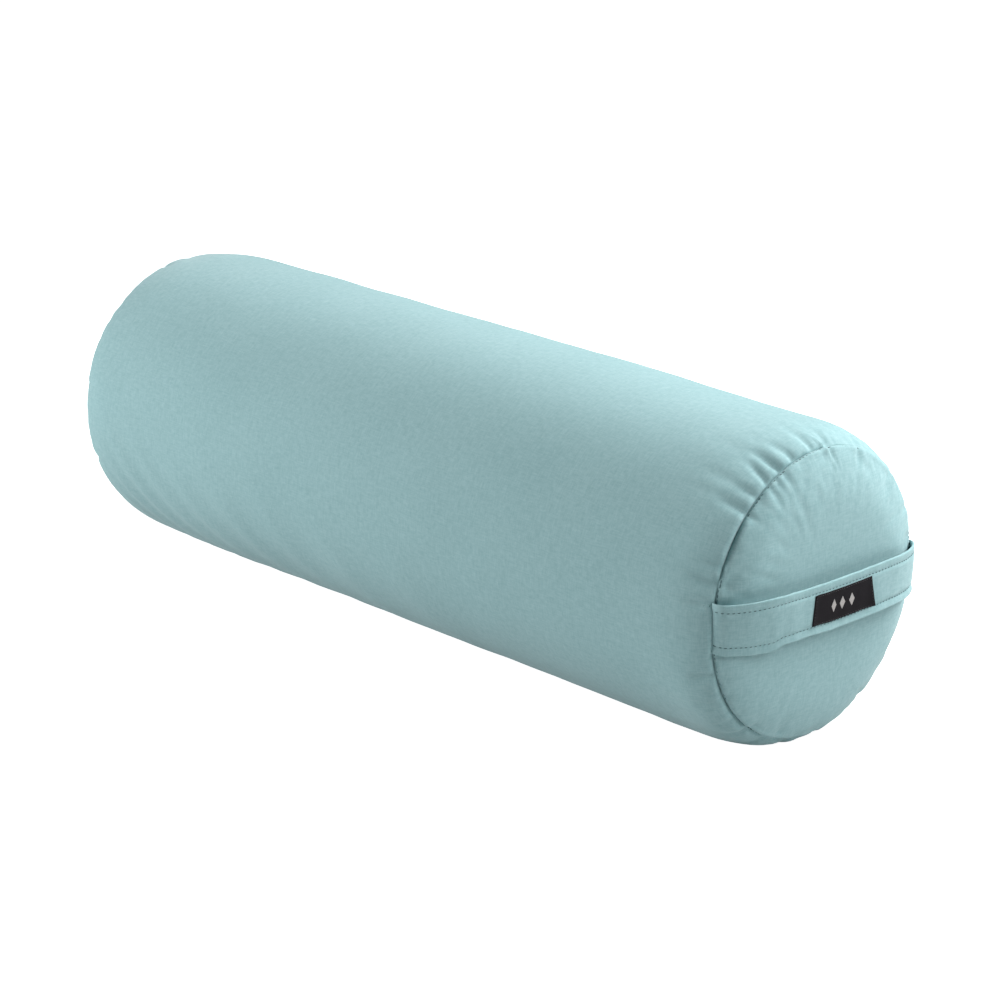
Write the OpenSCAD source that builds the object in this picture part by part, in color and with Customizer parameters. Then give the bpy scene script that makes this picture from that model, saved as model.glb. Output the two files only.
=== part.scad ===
// Round bolster pillow with a removable cover.
// A zipped cotton canvas cover, with a carry handle sewn across one end, holds
// a calico bag stuffed with rolled cotton batting.
// The bolster lies along X with the handle at +X, and the zip runs along the +Y side.
// Z = 0 is the flat that it rests on, and X = Y = 0 is the middle of its length.

/* [Bolster] */
// Diameter of the round cover
cover_d = 230; // [210:5:250]
// Length from the crown of one end panel to the crown of the other
cover_l = 690; // [620:10:760]
// How far the round form sinks into a flat at the bottom
rest_sink = 7; // [5:1:9]
// Length of the rounded end, from the straight sleeve to the crown
end_l = 83; // [80:1:90]
// Squareness of the rounded end: 2 is an ellipse, and higher is squarer
end_power = 4.7; // [4.4:0.1:5]
// How far each end panel crowns beyond its seam
crown_h = 14; // [12:1:16]
// Thickness of the cover cloth
cloth_t = 0.9; // [0.8:0.1:1]

/* [Carry handle] */
// Width of the strap
strap_w = 35; // [32:1:40]
// Thickness of the folded strap
strap_t = 3; // [2.8:0.1:3.2]
// Height of the middle of the strap above the plane of the end seam
strap_rise = 22; // [22:0.5:26]
// Flatness of the strap's arch: higher is flatter in the middle and steeper at the ends
strap_power = 4.5; // [4:0.1:5]
// Height of the middle of the strap above the axis of the bolster
strap_up = 2.5; // [-5:0.5:5]
// Distance from the edge of the strap to each row of topstitching
topstitch_in = 5.5; // [4:0.5:6]
// Length of the label on the strap
label_l = 60; // [40:1:70]
// Width of the label
label_w = 20; // [14:1:20]

/* [Zip] */
// Length of the zip opening in the sleeve
zip_l = 540; // [400:10:540]
// Angle of the zip above the middle of the back
zip_angle = 12; // [5:1:30]
// Width of the opening between the folded edges of the sleeve
zip_gap = 11.6; // [11:0.1:13]
// Length of the pull tab
pull_l = 26; // [20:1:32]

/* [Inner bag and fill] */
// Room between the outside of the cover and the outside of the inner bag
liner_inset = 4; // [4:0.1:5]
// Thickness of the calico inner bag
liner_t = 0.5; // [0.4:0.1:0.6]
// Diameter of the tightly rolled core
core_d = 90; // [60:5:110]
// Diameter at which the roll's inner wrap ends and its outer wrap starts
wrap_d = 160; // [130:5:180]

/* [Hidden] */

// Smoothness of the large round forms and of the small ones
form_fn = 180;
small_fn = 32;
// Angle between the points that draw the rounded end
end_step = 3;

canvas_colour = [0.63, 0.77, 0.78];
thread_colour = [0.56, 0.71, 0.72];
label_colour = [0.1, 0.09, 0.11];
metal_colour = [0.72, 0.73, 0.74];
calico_colour = [0.93, 0.9, 0.83];
batting_colour = [0.97, 0.95, 0.9];

cover_r = cover_d / 2;
axis_z = cover_r - rest_sink;
straight_x = cover_l / 2 - end_l;
seam_x = cover_l / 2 - crown_h;
// Width of the gap at a seam that its thread lies in, and the thread's own width
seam_gap = 1;
thread_w = 0.8;
// Clearance between pieces that move against each other
run_gap = 0.35;

// Points on the rounded end, set in from the cover's surface: t is 0 at the straight and 90 at the crown
function end_x(inset, t) = straight_x + (end_l - inset) * pow(sin(t), 2 / end_power);
function end_r(inset, t) = (cover_r - inset) * pow(cos(t), 2 / end_power);
// Radius of the cover at a distance x along the rounded end
function radius_at(inset, x) =
    (cover_r - inset) * pow(1 - pow((x - straight_x) / (end_l - inset), end_power), 1 / end_power);

// Arch of the strap seen from above, with its ends at the seam of the end panel
strap_half = radius_at(0, seam_x) + 1;
strap_steps = 40;
arch_ys = [for (i = [0:strap_steps]) strap_half * (2 * i / strap_steps - 1)];
function arch_x(y) = seam_x + strap_rise * (1 - pow(abs(y) / strap_half, strap_power));
function arch_slope(y) =
    -sign(y) * strap_rise * strap_power * pow(abs(y) / strap_half, strap_power - 1) / strap_half;
function arch_point(y, out) =
    let (slope = arch_slope(y), stretch = sqrt(1 + slope * slope))
    [arch_x(y) + out / stretch, y - out * slope / stretch];

webbing_t = 1.2;
webbing_w = strap_w - 10;
webbing_half = strap_half - 12;
stitch_proud = 0.3;
stitch_gap = 0.02;
stitch_w = 0.8;
label_t = 0.6;
topstitch_z = strap_w / 2 - topstitch_in;
label_stitch_z = label_w / 2 - 1.2;

// Radii of the zip's parts about the axis of the bolster
tape_t = 0.6;
tape_out_r = cover_r - cloth_t - 0.1;
tape_in_r = tape_out_r - tape_t;
tape_r = (tape_in_r + tape_out_r) / 2;
tape_w = 14;
tape_over = 6;
coil_half_t = 1.15;
// Distances of the coil from the middle of the zip
coil_from = 0.8;
coil_to = 2.8;
stop_l = 3;
stop_half_t = 1.75;
coil_x = zip_l / 2 - stop_l - 1;
zip_stitch_from = zip_gap / 2 + 2.5;

// Slider: two plates with side flanges, joined by a post at the nose, with a bridge for the pull
slider_l = 12;
slider_tail_w = 8.4;
slider_nose_w = 9.4;
plate_t = 0.8;
channel_half_t = 1.45;
channel_half_w = 3.3;
flange_half_gap = 0.7;
post_half_w = 0.5;
bridge_half_l = 4.2;
bridge_half_w = 1.3;
bridge_bar_t = 0.9;
bridge_room = 1.8;
slider_x = coil_x - slider_l / 2 - 0.5;
slider_top_r = tape_r + channel_half_t + plate_t;
pull_r = slider_top_r + bridge_room / 2;
pull_t = 1;
pull_bar_r = 0.5;
pull_arm_in = 1.8;
pull_half_w = 3.8;
pull_window_l = 5.4;

liner_seam_x = seam_x - 4;
liner_stitch_l = 200;
liner_stitch_angle = -70;
fill_inset = liner_inset + liner_t + 0.3;
pad_x = seam_x - 18;
layer_gap = 0.2;

// The whole round form, set in from the cover's surface, standing on its flat
module round_form(inset) {
    profile = concat(
        [for (t = [90:-end_step:0]) [end_r(inset, t), end_x(inset, t)]],
        [for (t = [0:end_step:90]) [end_r(inset, t), -end_x(inset, t)]]
    );
    intersection() {
        translate([0, 0, axis_z])
            rotate([0, 90, 0])
                rotate_extrude($fn = form_fn)
                    polygon(profile);
        translate([-cover_l, -cover_d, inset])
            cube([2 * cover_l, 2 * cover_d, 2 * cover_d]);
    }
}

// A skin of the round form between two depths
module skin(outer, inner) {
    difference() {
        round_form(outer);
        round_form(inner);
    }
}

// Everything between two places along X
module slice(from, to) {
    translate([from, -cover_d, -cover_d])
        cube([to - from, 2 * cover_d, 3 * cover_d]);
}

// A tube along the axis of the bolster, centred on X = 0
module axis_tube(inner_r, outer_r, length) {
    rotate([0, 90, 0])
        difference() {
            cylinder(r = outer_r, h = length, center = true, $fn = form_fn);
            cylinder(r = inner_r, h = length + 1, center = true, $fn = form_fn);
        }
}

module solid_roll(radius, length) {
    translate([0, 0, axis_z])
        rotate([0, 90, 0])
            cylinder(r = radius, h = length, center = true, $fn = form_fn);
}

// A ring of thread in a seam around the axis
module seam_ring(x, inset) {
    ring_r = radius_at(inset, x) - 0.3;
    translate([x - thread_w / 2, 0, axis_z])
        rotate([0, 90, 0])
            difference() {
                cylinder(r = ring_r, h = thread_w, $fn = form_fn);
                translate([0, 0, -1])
                    cylinder(r = ring_r - thread_w, h = thread_w + 2, $fn = form_fn);
            }
}

// Zip axes: X along the zip, Y outward from the bolster's axis, Z across the zip
module at_zip(angle = zip_angle) {
    translate([0, 0, axis_z])
        rotate([angle, 0, 0])
            children();
}

// A strip that follows the round of the sleeve, between two places across the zip
module curved_strip(inner_r, outer_r, length, from, to) {
    intersection() {
        axis_tube(inner_r, outer_r, length);
        translate([-length, 0, from])
            cube([2 * length, cover_d, to - from]);
    }
}

module cover_sleeve() {
    color(canvas_colour)
        difference() {
            intersection() {
                skin(0, cloth_t);
                slice(-seam_x + seam_gap / 2, seam_x - seam_gap / 2);
            }
            at_zip()
                translate([-zip_l / 2, cover_r - 4, -zip_gap / 2])
                    cube([zip_l, 8, zip_gap]);
        }
}

module cover_end(side) {
    color(canvas_colour)
        intersection() {
            skin(0, cloth_t);
            mirror([side < 0 ? 1 : 0, 0, 0])
                slice(seam_x + seam_gap / 2, cover_l);
        }
}

module cover_end_handle() {
    cover_end(1);
}

module cover_end_plain() {
    cover_end(-1);
}

module end_seam_thread_handle() {
    color(thread_colour)
        seam_ring(seam_x, 0);
}

module end_seam_thread_plain() {
    color(thread_colour)
        mirror([1, 0, 0])
            seam_ring(seam_x, 0);
}

// Two short rows inside the cover, behind each end of the strap, that hold it in the seam
module handle_anchor_stitches() {
    row_in = 3;
    color(thread_colour)
        for (side = [-1, 1], row = [1, 2]) {
            x = seam_x - row_in * row;
            y = (radius_at(cloth_t, x) + radius_at(liner_inset, x)) / 2;
            translate([x, side * y, axis_z + strap_up])
                cube([thread_w, thread_w, strap_w - 6], center = true);
        }
}

// A band that follows the strap's arch, between two depths and two heights
module arch_band(from, to, half_l, low, high) {
    ys = concat([-half_l], [for (y = arch_ys) if (abs(y) < half_l) y], [half_l]);
    translate([0, 0, axis_z + strap_up + low])
        linear_extrude(high - low)
            polygon(concat(
                [for (y = ys) arch_point(y, to)],
                [for (i = [len(ys) - 1:-1:0]) arch_point(ys[i], from)]
            ));
}

module handle_strap() {
    pocket_gap = 0.15;
    color(canvas_colour)
        difference() {
            arch_band(-strap_t / 2, strap_t / 2, strap_half, -strap_w / 2, strap_w / 2);
            arch_band(
                -webbing_t / 2 - pocket_gap, webbing_t / 2 + pocket_gap, webbing_half + pocket_gap,
                -webbing_w / 2 - pocket_gap, webbing_w / 2 + pocket_gap
            );
            round_form(-run_gap);
        }
}

module handle_webbing() {
    color(calico_colour)
        arch_band(-webbing_t / 2, webbing_t / 2, webbing_half, -webbing_w / 2, webbing_w / 2);
}

// One row of stitches that lies on the strap, at a height and above a layer of cloth
module strap_row(z, layer_t, half_l) {
    from = strap_t / 2 + layer_t + stitch_gap;
    arch_band(from, from + stitch_proud, half_l, z - stitch_w / 2, z + stitch_w / 2);
}

module handle_topstitch_upper() {
    color(thread_colour)
        strap_row(topstitch_z, 0, strap_half - 4);
}

module handle_topstitch_lower() {
    color(thread_colour)
        strap_row(-topstitch_z, 0, strap_half - 4);
}

module label() {
    color(label_colour)
        arch_band(strap_t / 2 + stitch_gap, strap_t / 2 + label_t, label_l / 2, -label_w / 2, label_w / 2);
}

module label_stitching() {
    color(label_colour)
        for (side = [-1, 1])
            strap_row(side * label_stitch_z, label_t, label_l / 2 - 1);
}

module zipper_tape(side) {
    color(canvas_colour)
        at_zip()
            mirror([0, 0, side < 0 ? 1 : 0])
                curved_strip(tape_in_r, tape_out_r, zip_l + 2 * tape_over, coil_to, tape_w);
}

module zipper_tape_upper() {
    zipper_tape(1);
}

module zipper_tape_lower() {
    zipper_tape(-1);
}

module zipper_coil(side) {
    color(thread_colour)
        at_zip()
            mirror([0, 0, side < 0 ? 1 : 0])
                translate([-coil_x, tape_r - coil_half_t, coil_from])
                    cube([2 * coil_x, 2 * coil_half_t, coil_to - coil_from]);
}

module zipper_coil_upper() {
    zipper_coil(1);
}

module zipper_coil_lower() {
    zipper_coil(-1);
}

module zipper_topstitch(side) {
    color(thread_colour)
        at_zip()
            mirror([0, 0, side < 0 ? 1 : 0])
                curved_strip(cover_r, cover_r + stitch_proud, zip_l,
                    zip_stitch_from, zip_stitch_from + stitch_w);
}

module zipper_topstitch_upper() {
    zipper_topstitch(1);
}

module zipper_topstitch_lower() {
    zipper_topstitch(-1);
}

// One metal stop clipped over each coil at the closed end
module zipper_top_stops() {
    color(metal_colour)
        at_zip()
            for (side = [0, 1])
                mirror([0, 0, side])
                    translate([coil_x, tape_r - stop_half_t, coil_from])
                        cube([stop_l, 2 * stop_half_t, coil_to - coil_from - 0.05]);
}

// One wide stop clipped over both coils at the open end
module zipper_bottom_stop() {
    stop_w = 2 * coil_to - 0.1;
    color(metal_colour)
        at_zip()
            translate([-coil_x - stop_l, tape_r - stop_half_t, -stop_w / 2])
                cube([stop_l, 2 * stop_half_t, stop_w]);
}

// A plate seen from outside the zip, between two radii: wide at its nose and narrow at its tail
module slider_plate(from_r, to_r) {
    nose = slider_nose_w / 2;
    tail = slider_tail_w / 2;
    translate([0, from_r, 0])
        rotate([-90, 0, 0])
            linear_extrude(to_r - from_r)
                polygon([
                    [-slider_l / 2, -tail + 1], [-slider_l / 2 + 1, -tail],
                    [1, -tail], [3, -nose],
                    [slider_l / 2 - 1, -nose], [slider_l / 2, -nose + 1],
                    [slider_l / 2, nose - 1], [slider_l / 2 - 1, nose],
                    [3, nose], [1, tail],
                    [-slider_l / 2 + 1, tail], [-slider_l / 2, tail - 1]
                ]);
}

module slider_flange(from_r, to_r) {
    difference() {
        slider_plate(from_r, to_r);
        translate([-slider_l, from_r - 1, -channel_half_w])
            cube([2 * slider_l, to_r - from_r + 2, 2 * channel_half_w]);
    }
}

module slider_bridge() {
    inner = bridge_half_l - 1;
    top = slider_top_r + bridge_room + bridge_bar_t;
    translate([0, 0, -bridge_half_w])
        linear_extrude(2 * bridge_half_w)
            difference() {
                polygon([
                    [-bridge_half_l, slider_top_r - 0.1], [-bridge_half_l, top - 1],
                    [-bridge_half_l + 1, top], [bridge_half_l - 1, top],
                    [bridge_half_l, top - 1], [bridge_half_l, slider_top_r - 0.1]
                ]);
                translate([-inner, slider_top_r])
                    square([2 * inner, bridge_room]);
            }
}

module zipper_slider() {
    color(metal_colour)
        at_zip()
            translate([slider_x, 0, 0]) {
                slider_plate(tape_r + channel_half_t, slider_top_r);
                slider_plate(tape_r - channel_half_t - plate_t, tape_r - channel_half_t);
                slider_flange(tape_r + flange_half_gap, tape_r + channel_half_t + 0.1);
                slider_flange(tape_r - channel_half_t - 0.1, tape_r - flange_half_gap);
                translate([2, tape_r - channel_half_t - 0.1, -post_half_w])
                    cube([3.5, 2 * channel_half_t + 0.2, 2 * post_half_w]);
                slider_bridge();
            }
}

// The tab hangs on its own cross bar under the slider's bridge and lies back over the closed zip
module zipper_pull_tab() {
    waist = 2.8;
    color(metal_colour)
        at_zip()
            translate([slider_x, pull_r, 0]) {
                cylinder(r = pull_bar_r, h = 2 * pull_half_w - 0.4, center = true, $fn = small_fn);
                translate([0, -pull_t / 2, 0])
                    rotate([-90, 0, 0])
                        linear_extrude(pull_t)
                            difference() {
                                union() {
                                    polygon([
                                        [pull_bar_r, -pull_half_w], [pull_bar_r, pull_half_w],
                                        [-pull_window_l - 1, pull_half_w], [-pull_window_l - 3, waist],
                                        [-pull_l + pull_half_w, pull_half_w],
                                        [-pull_l + pull_half_w, -pull_half_w],
                                        [-pull_window_l - 3, -waist], [-pull_window_l - 1, -pull_half_w]
                                    ]);
                                    translate([-pull_l + pull_half_w, 0])
                                        circle(r = pull_half_w, $fn = small_fn);
                                }
                                translate([-pull_window_l, -pull_arm_in])
                                    square([pull_window_l - pull_bar_r / 2, 2 * pull_arm_in]);
                            }
            }
}

module liner_sleeve() {
    color(calico_colour)
        intersection() {
            skin(liner_inset, liner_inset + liner_t);
            slice(-liner_seam_x + seam_gap / 2, liner_seam_x - seam_gap / 2);
        }
}

module liner_end(side) {
    color(calico_colour)
        intersection() {
            skin(liner_inset, liner_inset + liner_t);
            mirror([side < 0 ? 1 : 0, 0, 0])
                slice(liner_seam_x + seam_gap / 2, cover_l);
        }
}

module liner_end_handle() {
    liner_end(1);
}

module liner_end_plain() {
    liner_end(-1);
}

module liner_seam_thread_handle() {
    color(thread_colour)
        seam_ring(liner_seam_x, liner_inset - 0.6);
}

module liner_seam_thread_plain() {
    color(thread_colour)
        mirror([1, 0, 0])
            seam_ring(liner_seam_x, liner_inset - 0.6);
}

// The row that closes the slit through which the bag was filled
module liner_closing_stitches() {
    liner_r = cover_r - liner_inset;
    color(thread_colour)
        at_zip(liner_stitch_angle)
            curved_strip(liner_r, liner_r + stitch_proud, liner_stitch_l, 0, stitch_w);
}

module batting_core() {
    color(batting_colour)
        solid_roll(core_d / 2, 2 * pad_x);
}

module batting_inner_wrap() {
    color(batting_colour)
        translate([0, 0, axis_z])
            axis_tube(core_d / 2 + layer_gap, wrap_d / 2, 2 * pad_x);
}

module batting_outer_wrap() {
    color(batting_colour)
        difference() {
            intersection() {
                round_form(fill_inset);
                slice(-pad_x, pad_x);
            }
            solid_roll(wrap_d / 2 + layer_gap, 3 * pad_x);
        }
}

module batting_pad(side) {
    color(batting_colour)
        intersection() {
            round_form(fill_inset);
            mirror([side < 0 ? 1 : 0, 0, 0])
                slice(pad_x + layer_gap, cover_l);
        }
}

module batting_pad_handle() {
    batting_pad(1);
}

module batting_pad_plain() {
    batting_pad(-1);
}

cover_sleeve();
cover_end_handle();
cover_end_plain();
end_seam_thread_handle();
end_seam_thread_plain();
handle_anchor_stitches();
handle_strap();
handle_webbing();
handle_topstitch_upper();
handle_topstitch_lower();
label();
label_stitching();
zipper_tape_upper();
zipper_tape_lower();
zipper_coil_upper();
zipper_coil_lower();
zipper_topstitch_upper();
zipper_topstitch_lower();
zipper_top_stops();
zipper_bottom_stop();
zipper_slider();
zipper_pull_tab();
liner_sleeve();
liner_end_handle();
liner_end_plain();
liner_seam_thread_handle();
liner_seam_thread_plain();
liner_closing_stitches();
batting_core();
batting_inner_wrap();
batting_outer_wrap();
batting_pad_handle();
batting_pad_plain();
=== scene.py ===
"""The looks of a round bolster pillow: a canvas cover with gathered end seams, a carry handle
with a woven label, and a zip at the back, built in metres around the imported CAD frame."""

import math

import bpy
import numpy as np
from mathutils import Matrix, Vector


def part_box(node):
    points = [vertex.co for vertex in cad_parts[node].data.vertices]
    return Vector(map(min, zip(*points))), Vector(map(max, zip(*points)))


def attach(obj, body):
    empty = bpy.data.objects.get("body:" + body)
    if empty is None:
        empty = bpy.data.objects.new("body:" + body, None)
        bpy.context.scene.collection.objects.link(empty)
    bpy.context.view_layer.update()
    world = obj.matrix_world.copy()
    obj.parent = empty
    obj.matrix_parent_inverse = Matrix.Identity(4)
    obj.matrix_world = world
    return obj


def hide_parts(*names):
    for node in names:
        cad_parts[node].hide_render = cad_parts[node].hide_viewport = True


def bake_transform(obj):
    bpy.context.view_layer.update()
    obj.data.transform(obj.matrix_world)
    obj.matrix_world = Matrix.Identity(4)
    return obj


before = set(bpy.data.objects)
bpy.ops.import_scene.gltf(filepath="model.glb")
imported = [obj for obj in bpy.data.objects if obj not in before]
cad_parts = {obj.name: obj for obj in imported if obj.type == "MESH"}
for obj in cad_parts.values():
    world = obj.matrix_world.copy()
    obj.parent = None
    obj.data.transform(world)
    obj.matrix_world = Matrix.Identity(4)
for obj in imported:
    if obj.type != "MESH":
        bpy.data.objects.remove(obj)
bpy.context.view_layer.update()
MM = 0.001

# ---------------- sizes taken from the frame

sleeve_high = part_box("cover_sleeve")[1]
COVER_R = sleeve_high.y
AXIS_Z = sleeve_high.z - COVER_R
CROWN_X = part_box("cover_end_handle")[1].x
SEAM_X = sleeve_high.x + 0.5 * MM
strap_low, strap_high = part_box("handle_strap")
STRAP_Z = (strap_low.z + strap_high.z) / 2
STRAP_HALF_W = (strap_high.z - strap_low.z) / 2
label_low, label_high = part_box("label")
LABEL_HALF_W = (label_high.z - label_low.z) / 2
LABEL_HALF_L = (label_high.y - label_low.y) / 2

# Shape of the rounded ends, as in the CAD model
END_L = 83 * MM
END_POWER = 4.7
STRAIGHT_X = CROWN_X - END_L
CLOTH_T = 0.9 * MM

# Angles round the bolster run from the top towards the front, which is the -Y side
ZIP_ANGLE = math.radians(-78)
ZIP_HALF_L = 270 * MM
ZIP_HALF_GAP = 5.8 * MM
# The rows of topstitching lie this far from the middle of the zip
ZIP_STITCH_ROW = 8.7 * MM


# ---------------- small tools

def bump(x, centre, width):
    """1 at the centre, falling smoothly to 0 on both sides."""
    return np.exp(-(((x - centre) / width) ** 2))


def plateau(x, centre, width):
    """Like bump, but flat over the middle and steeper at the sides."""
    return np.exp(-(((x - centre) / width) ** 4))


def within(x, edge, softness):
    """1 below the edge and 0 above it, with a soft step between."""
    return 1 / (1 + np.exp((x - edge) / softness))


def turned_from(turns, angle=0.0):
    """Signed angle from one angle to others, at most half a turn either way."""
    return (turns - angle + np.pi) % (2 * np.pi) - np.pi


def run_length(x, y):
    """Length along a line of points, from its first point."""
    return np.concatenate([[0], np.cumsum(np.hypot(np.diff(x), np.diff(y)))])


def rise(at, places, values, step):
    """How much values change from one step before each place to one step past it."""
    return np.interp(at + step, places, values) - np.interp(at - step, places, values)


def graded(total, first, growth, largest):
    """Distances from 0 to total, in steps that grow from first to largest."""
    places = [0.0]
    step = first
    while places[-1] < total:
        places.append(places[-1] + step)
        step = min(step * growth, largest)
    places = np.array(places)
    return places * total / places[-1]


def smooth_noise(rng, rows, cols, wave_rows, wave_cols, low_cols=0):
    """Smooth random field with unit spread, periodic both ways. Waves are counted over the field."""
    white = np.fft.rfft2(rng.normal(0, 1, (rows, cols)))
    across = np.fft.rfftfreq(cols, 1 / cols)[None]
    along = np.fft.fftfreq(rows, 1 / rows)[:, None]
    keep = np.exp(-((across / wave_cols) ** 2) - (along / wave_rows) ** 2) * (across >= low_cols)
    field = np.fft.irfft2(white * keep, s=(rows, cols))
    return field / field.std()


def ring_faces(rows, cols, wrap=True):
    """Quads between rows of points, each row a ring if wrap is set."""
    i, j = np.meshgrid(np.arange(rows - 1), np.arange(cols if wrap else cols - 1), indexing="ij")
    k = (j + 1) % cols
    quads = np.stack([i * cols + j, (i + 1) * cols + j, (i + 1) * cols + k, i * cols + k], 2)
    return quads.reshape(-1, 4)


def tube_faces(rings, sides):
    """Faces of a closed tube: its wall and its two ends."""
    ends = [list(range(sides)), [rings * sides - 1 - k for k in range(sides)]]
    return ring_faces(rings, sides).tolist() + ends


def signed_volume(points, faces):
    """Volume that the faces enclose, negative if they point inwards."""
    tris = np.array([[f[0], f[k], f[k + 1]] for f in faces for k in range(1, len(f) - 1)])
    a, b, c = (points[tris[:, k]] for k in range(3))
    return float(np.einsum("ij,ij->i", a, np.cross(b, c)).sum() / 6)


def unit(vectors):
    """Vectors along the same directions, each with a length of one."""
    return vectors / np.linalg.norm(vectors, axis=-1, keepdims=True)


def round_sections(middles, radius, first, second, sides):
    """A ring of points round each middle, in the plane of a first and a second direction."""
    turn = 2 * np.pi * np.arange(sides) / sides
    ring = np.cos(turn)[:, None] * first[..., None, :] + np.sin(turn)[:, None] * second[..., None, :]
    return middles[..., None, :] + ring * radius


def link_object(name, data):
    made = bpy.data.objects.new(name, data)
    bpy.context.scene.collection.objects.link(made)
    return made


def build_mesh(name, points, faces, corner_uvs=None):
    """A smooth-shaded mesh object. corner_uvs holds one place in metres for each face corner."""
    mesh = bpy.data.meshes.new(name)
    mesh.from_pydata(np.asarray(points).tolist(), [], faces)
    if corner_uvs is not None:
        layer = mesh.uv_layers.new(name="cloth")
        layer.data.foreach_set("uv", np.asarray(corner_uvs, np.float32).ravel())
    mesh.update()
    mesh.shade_smooth()
    return link_object(name, mesh)


def build_solid(name, points, faces, corner_uvs=None):
    """A closed mesh object whose faces point outwards."""
    piece = build_mesh(name, points, faces, corner_uvs)
    if signed_volume(points, faces) < 0:
        piece.data.flip_normals()
    return piece


def dress(piece, material, body, node):
    """Gives a piece its material and body, and hides the CAD node that it stands for."""
    piece.data.materials.append(material)
    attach(piece, body)
    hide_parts(node)


# ---------------- the plain form of the cover

def rounded_radius(x):
    """Radius of the cover at a distance x along its axis."""
    u = np.clip((np.abs(x) - STRAIGHT_X) / END_L, 0, 1)
    return COVER_R * (1 - u ** END_POWER) ** (1 / END_POWER)


def meridian():
    """Arc length, x and radius along the cover from its middle to its crown."""
    turn = np.radians(np.linspace(0, 90, 3001))
    x = np.concatenate([[0], STRAIGHT_X + END_L * np.sin(turn) ** (2 / END_POWER)])
    r = np.concatenate([[COVER_R], COVER_R * np.cos(turn) ** (2 / END_POWER)])
    return run_length(x, r), x, r


ARC, ARC_X, ARC_R = meridian()
SEAM_R = float(rounded_radius(np.array(SEAM_X)))
SEAM_ARC = float(np.interp(SEAM_X, ARC_X, ARC))
CROWN_ARC = float(ARC[-1])


def on_meridian(arc):
    """x, radius and outward normal (along x, along the radius) at arc lengths on the +X half."""
    dx = rise(arc, ARC, ARC_X, 0.5 * MM)
    dr = rise(arc, ARC, ARC_R, 0.5 * MM)
    length = np.hypot(dx, dr)
    return np.interp(arc, ARC, ARC_X), np.interp(arc, ARC, ARC_R), -dr / length, dx / length


def around_axis(x, out, turns):
    """Points at x, a radius out from the bolster's axis, turned from the top towards the front."""
    x, out, turns = np.broadcast_arrays(x, out, turns)
    return np.stack([x, -out * np.sin(turns), AXIS_Z + out * np.cos(turns)], -1)


def settle(points):
    """Presses the lowest cloth onto the flat that the bolster rests on."""
    soft = 1.3 * MM
    points[..., 2] = soft * np.logaddexp(0, points[..., 2] / soft)
    return points


# ---------------- the gathers, by cloth simulation

# The cloth solver works best on large cloth, so an end is simulated at ten times its size
SIM_SCALE = 10.0
SIM_COLS = 400
SIM_SLEEVE = 100 * MM
SIM_STEP = 1.4 * MM
SIM_GROWTH = 1.05
SIM_LARGEST_STEP = 6 * MM
# By these frames the seam is drawn in, and the cloth has settled
DRAWN_FRAME = 12
SETTLED_FRAME = 22
SIM_TURNS = 2 * np.pi * np.arange(SIM_COLS) / SIM_COLS

# Where creases begin round each end, in degrees from the top towards the front
HANDLE_CREASES = (-150, -128, -104, -86, -66, -45, -22, -4, 5, 15, 23, 31, 38, 45, 52, 59, 66, 73, 81,
                  108, 120, 131, 142, 155, 170, 186)
PLAIN_CREASES = (-160, -141, -120, -98, -77, -60, -42, -20, 2, 15, 50, 79, 112, 143, 160, 176)


def gather_rows():
    """Arc distances from the seam of the rows of one simulated end, and the seam's row."""
    sleeve = graded(SIM_SLEEVE, SIM_STEP, SIM_GROWTH, SIM_LARGEST_STEP)
    panel = graded((CROWN_ARC - SEAM_ARC) * 0.97, SIM_STEP, SIM_GROWTH, SIM_LARGEST_STEP)
    return np.concatenate([-sleeve[::-1], panel[1:]]), len(sleeve) - 1


def ease_round(seed, base, places):
    """Share of spare cloth in the sleeve's edge round a seam: a base, broken up, with stronger
    stretches at (middle in degrees, half width in degrees, share)."""
    rng = np.random.default_rng(seed)
    degrees = np.degrees(SIM_TURNS)
    share = np.full(SIM_COLS, base)
    for middle, half, extra in places:
        away = np.abs((degrees - middle + 180) % 360 - 180)
        share = share + extra * plateau(away, 0, half)
    broken = 1 + 0.25 * smooth_noise(rng, 4, SIM_COLS, 2, 18)[0]
    return np.clip(share * np.clip(broken, 0.1, 2), 0.004, 0.2)


def begun_creases(rng, dist, seam_row, creases):
    """How far the cut cloth is raised off the plain form: small unevenness, and the creases that
    the sewing has already begun, each with its own reach and lean."""
    raised = smooth_noise(rng, len(dist), SIM_COLS, 10, 55, 8)
    raised = raised * np.exp(-np.abs(dist) / (20 * MM))[:, None]
    raised *= 0.2 * MM
    for place in creases:
        reach = rng.uniform(10, 24) * MM
        lean = rng.normal(0, 0.12)
        off = SEAM_R * turned_from(SIM_TURNS, math.radians(place))
        off = off[None] - lean * dist[:, None]
        line = bump(off, 0, 2 * MM) * np.exp(-np.abs(dist) / reach)[:, None]
        raised -= 1.8 * MM * line * np.where(dist < 0, 1, 0.35)[:, None]
    raised[seam_row] = 0
    return raised


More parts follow.
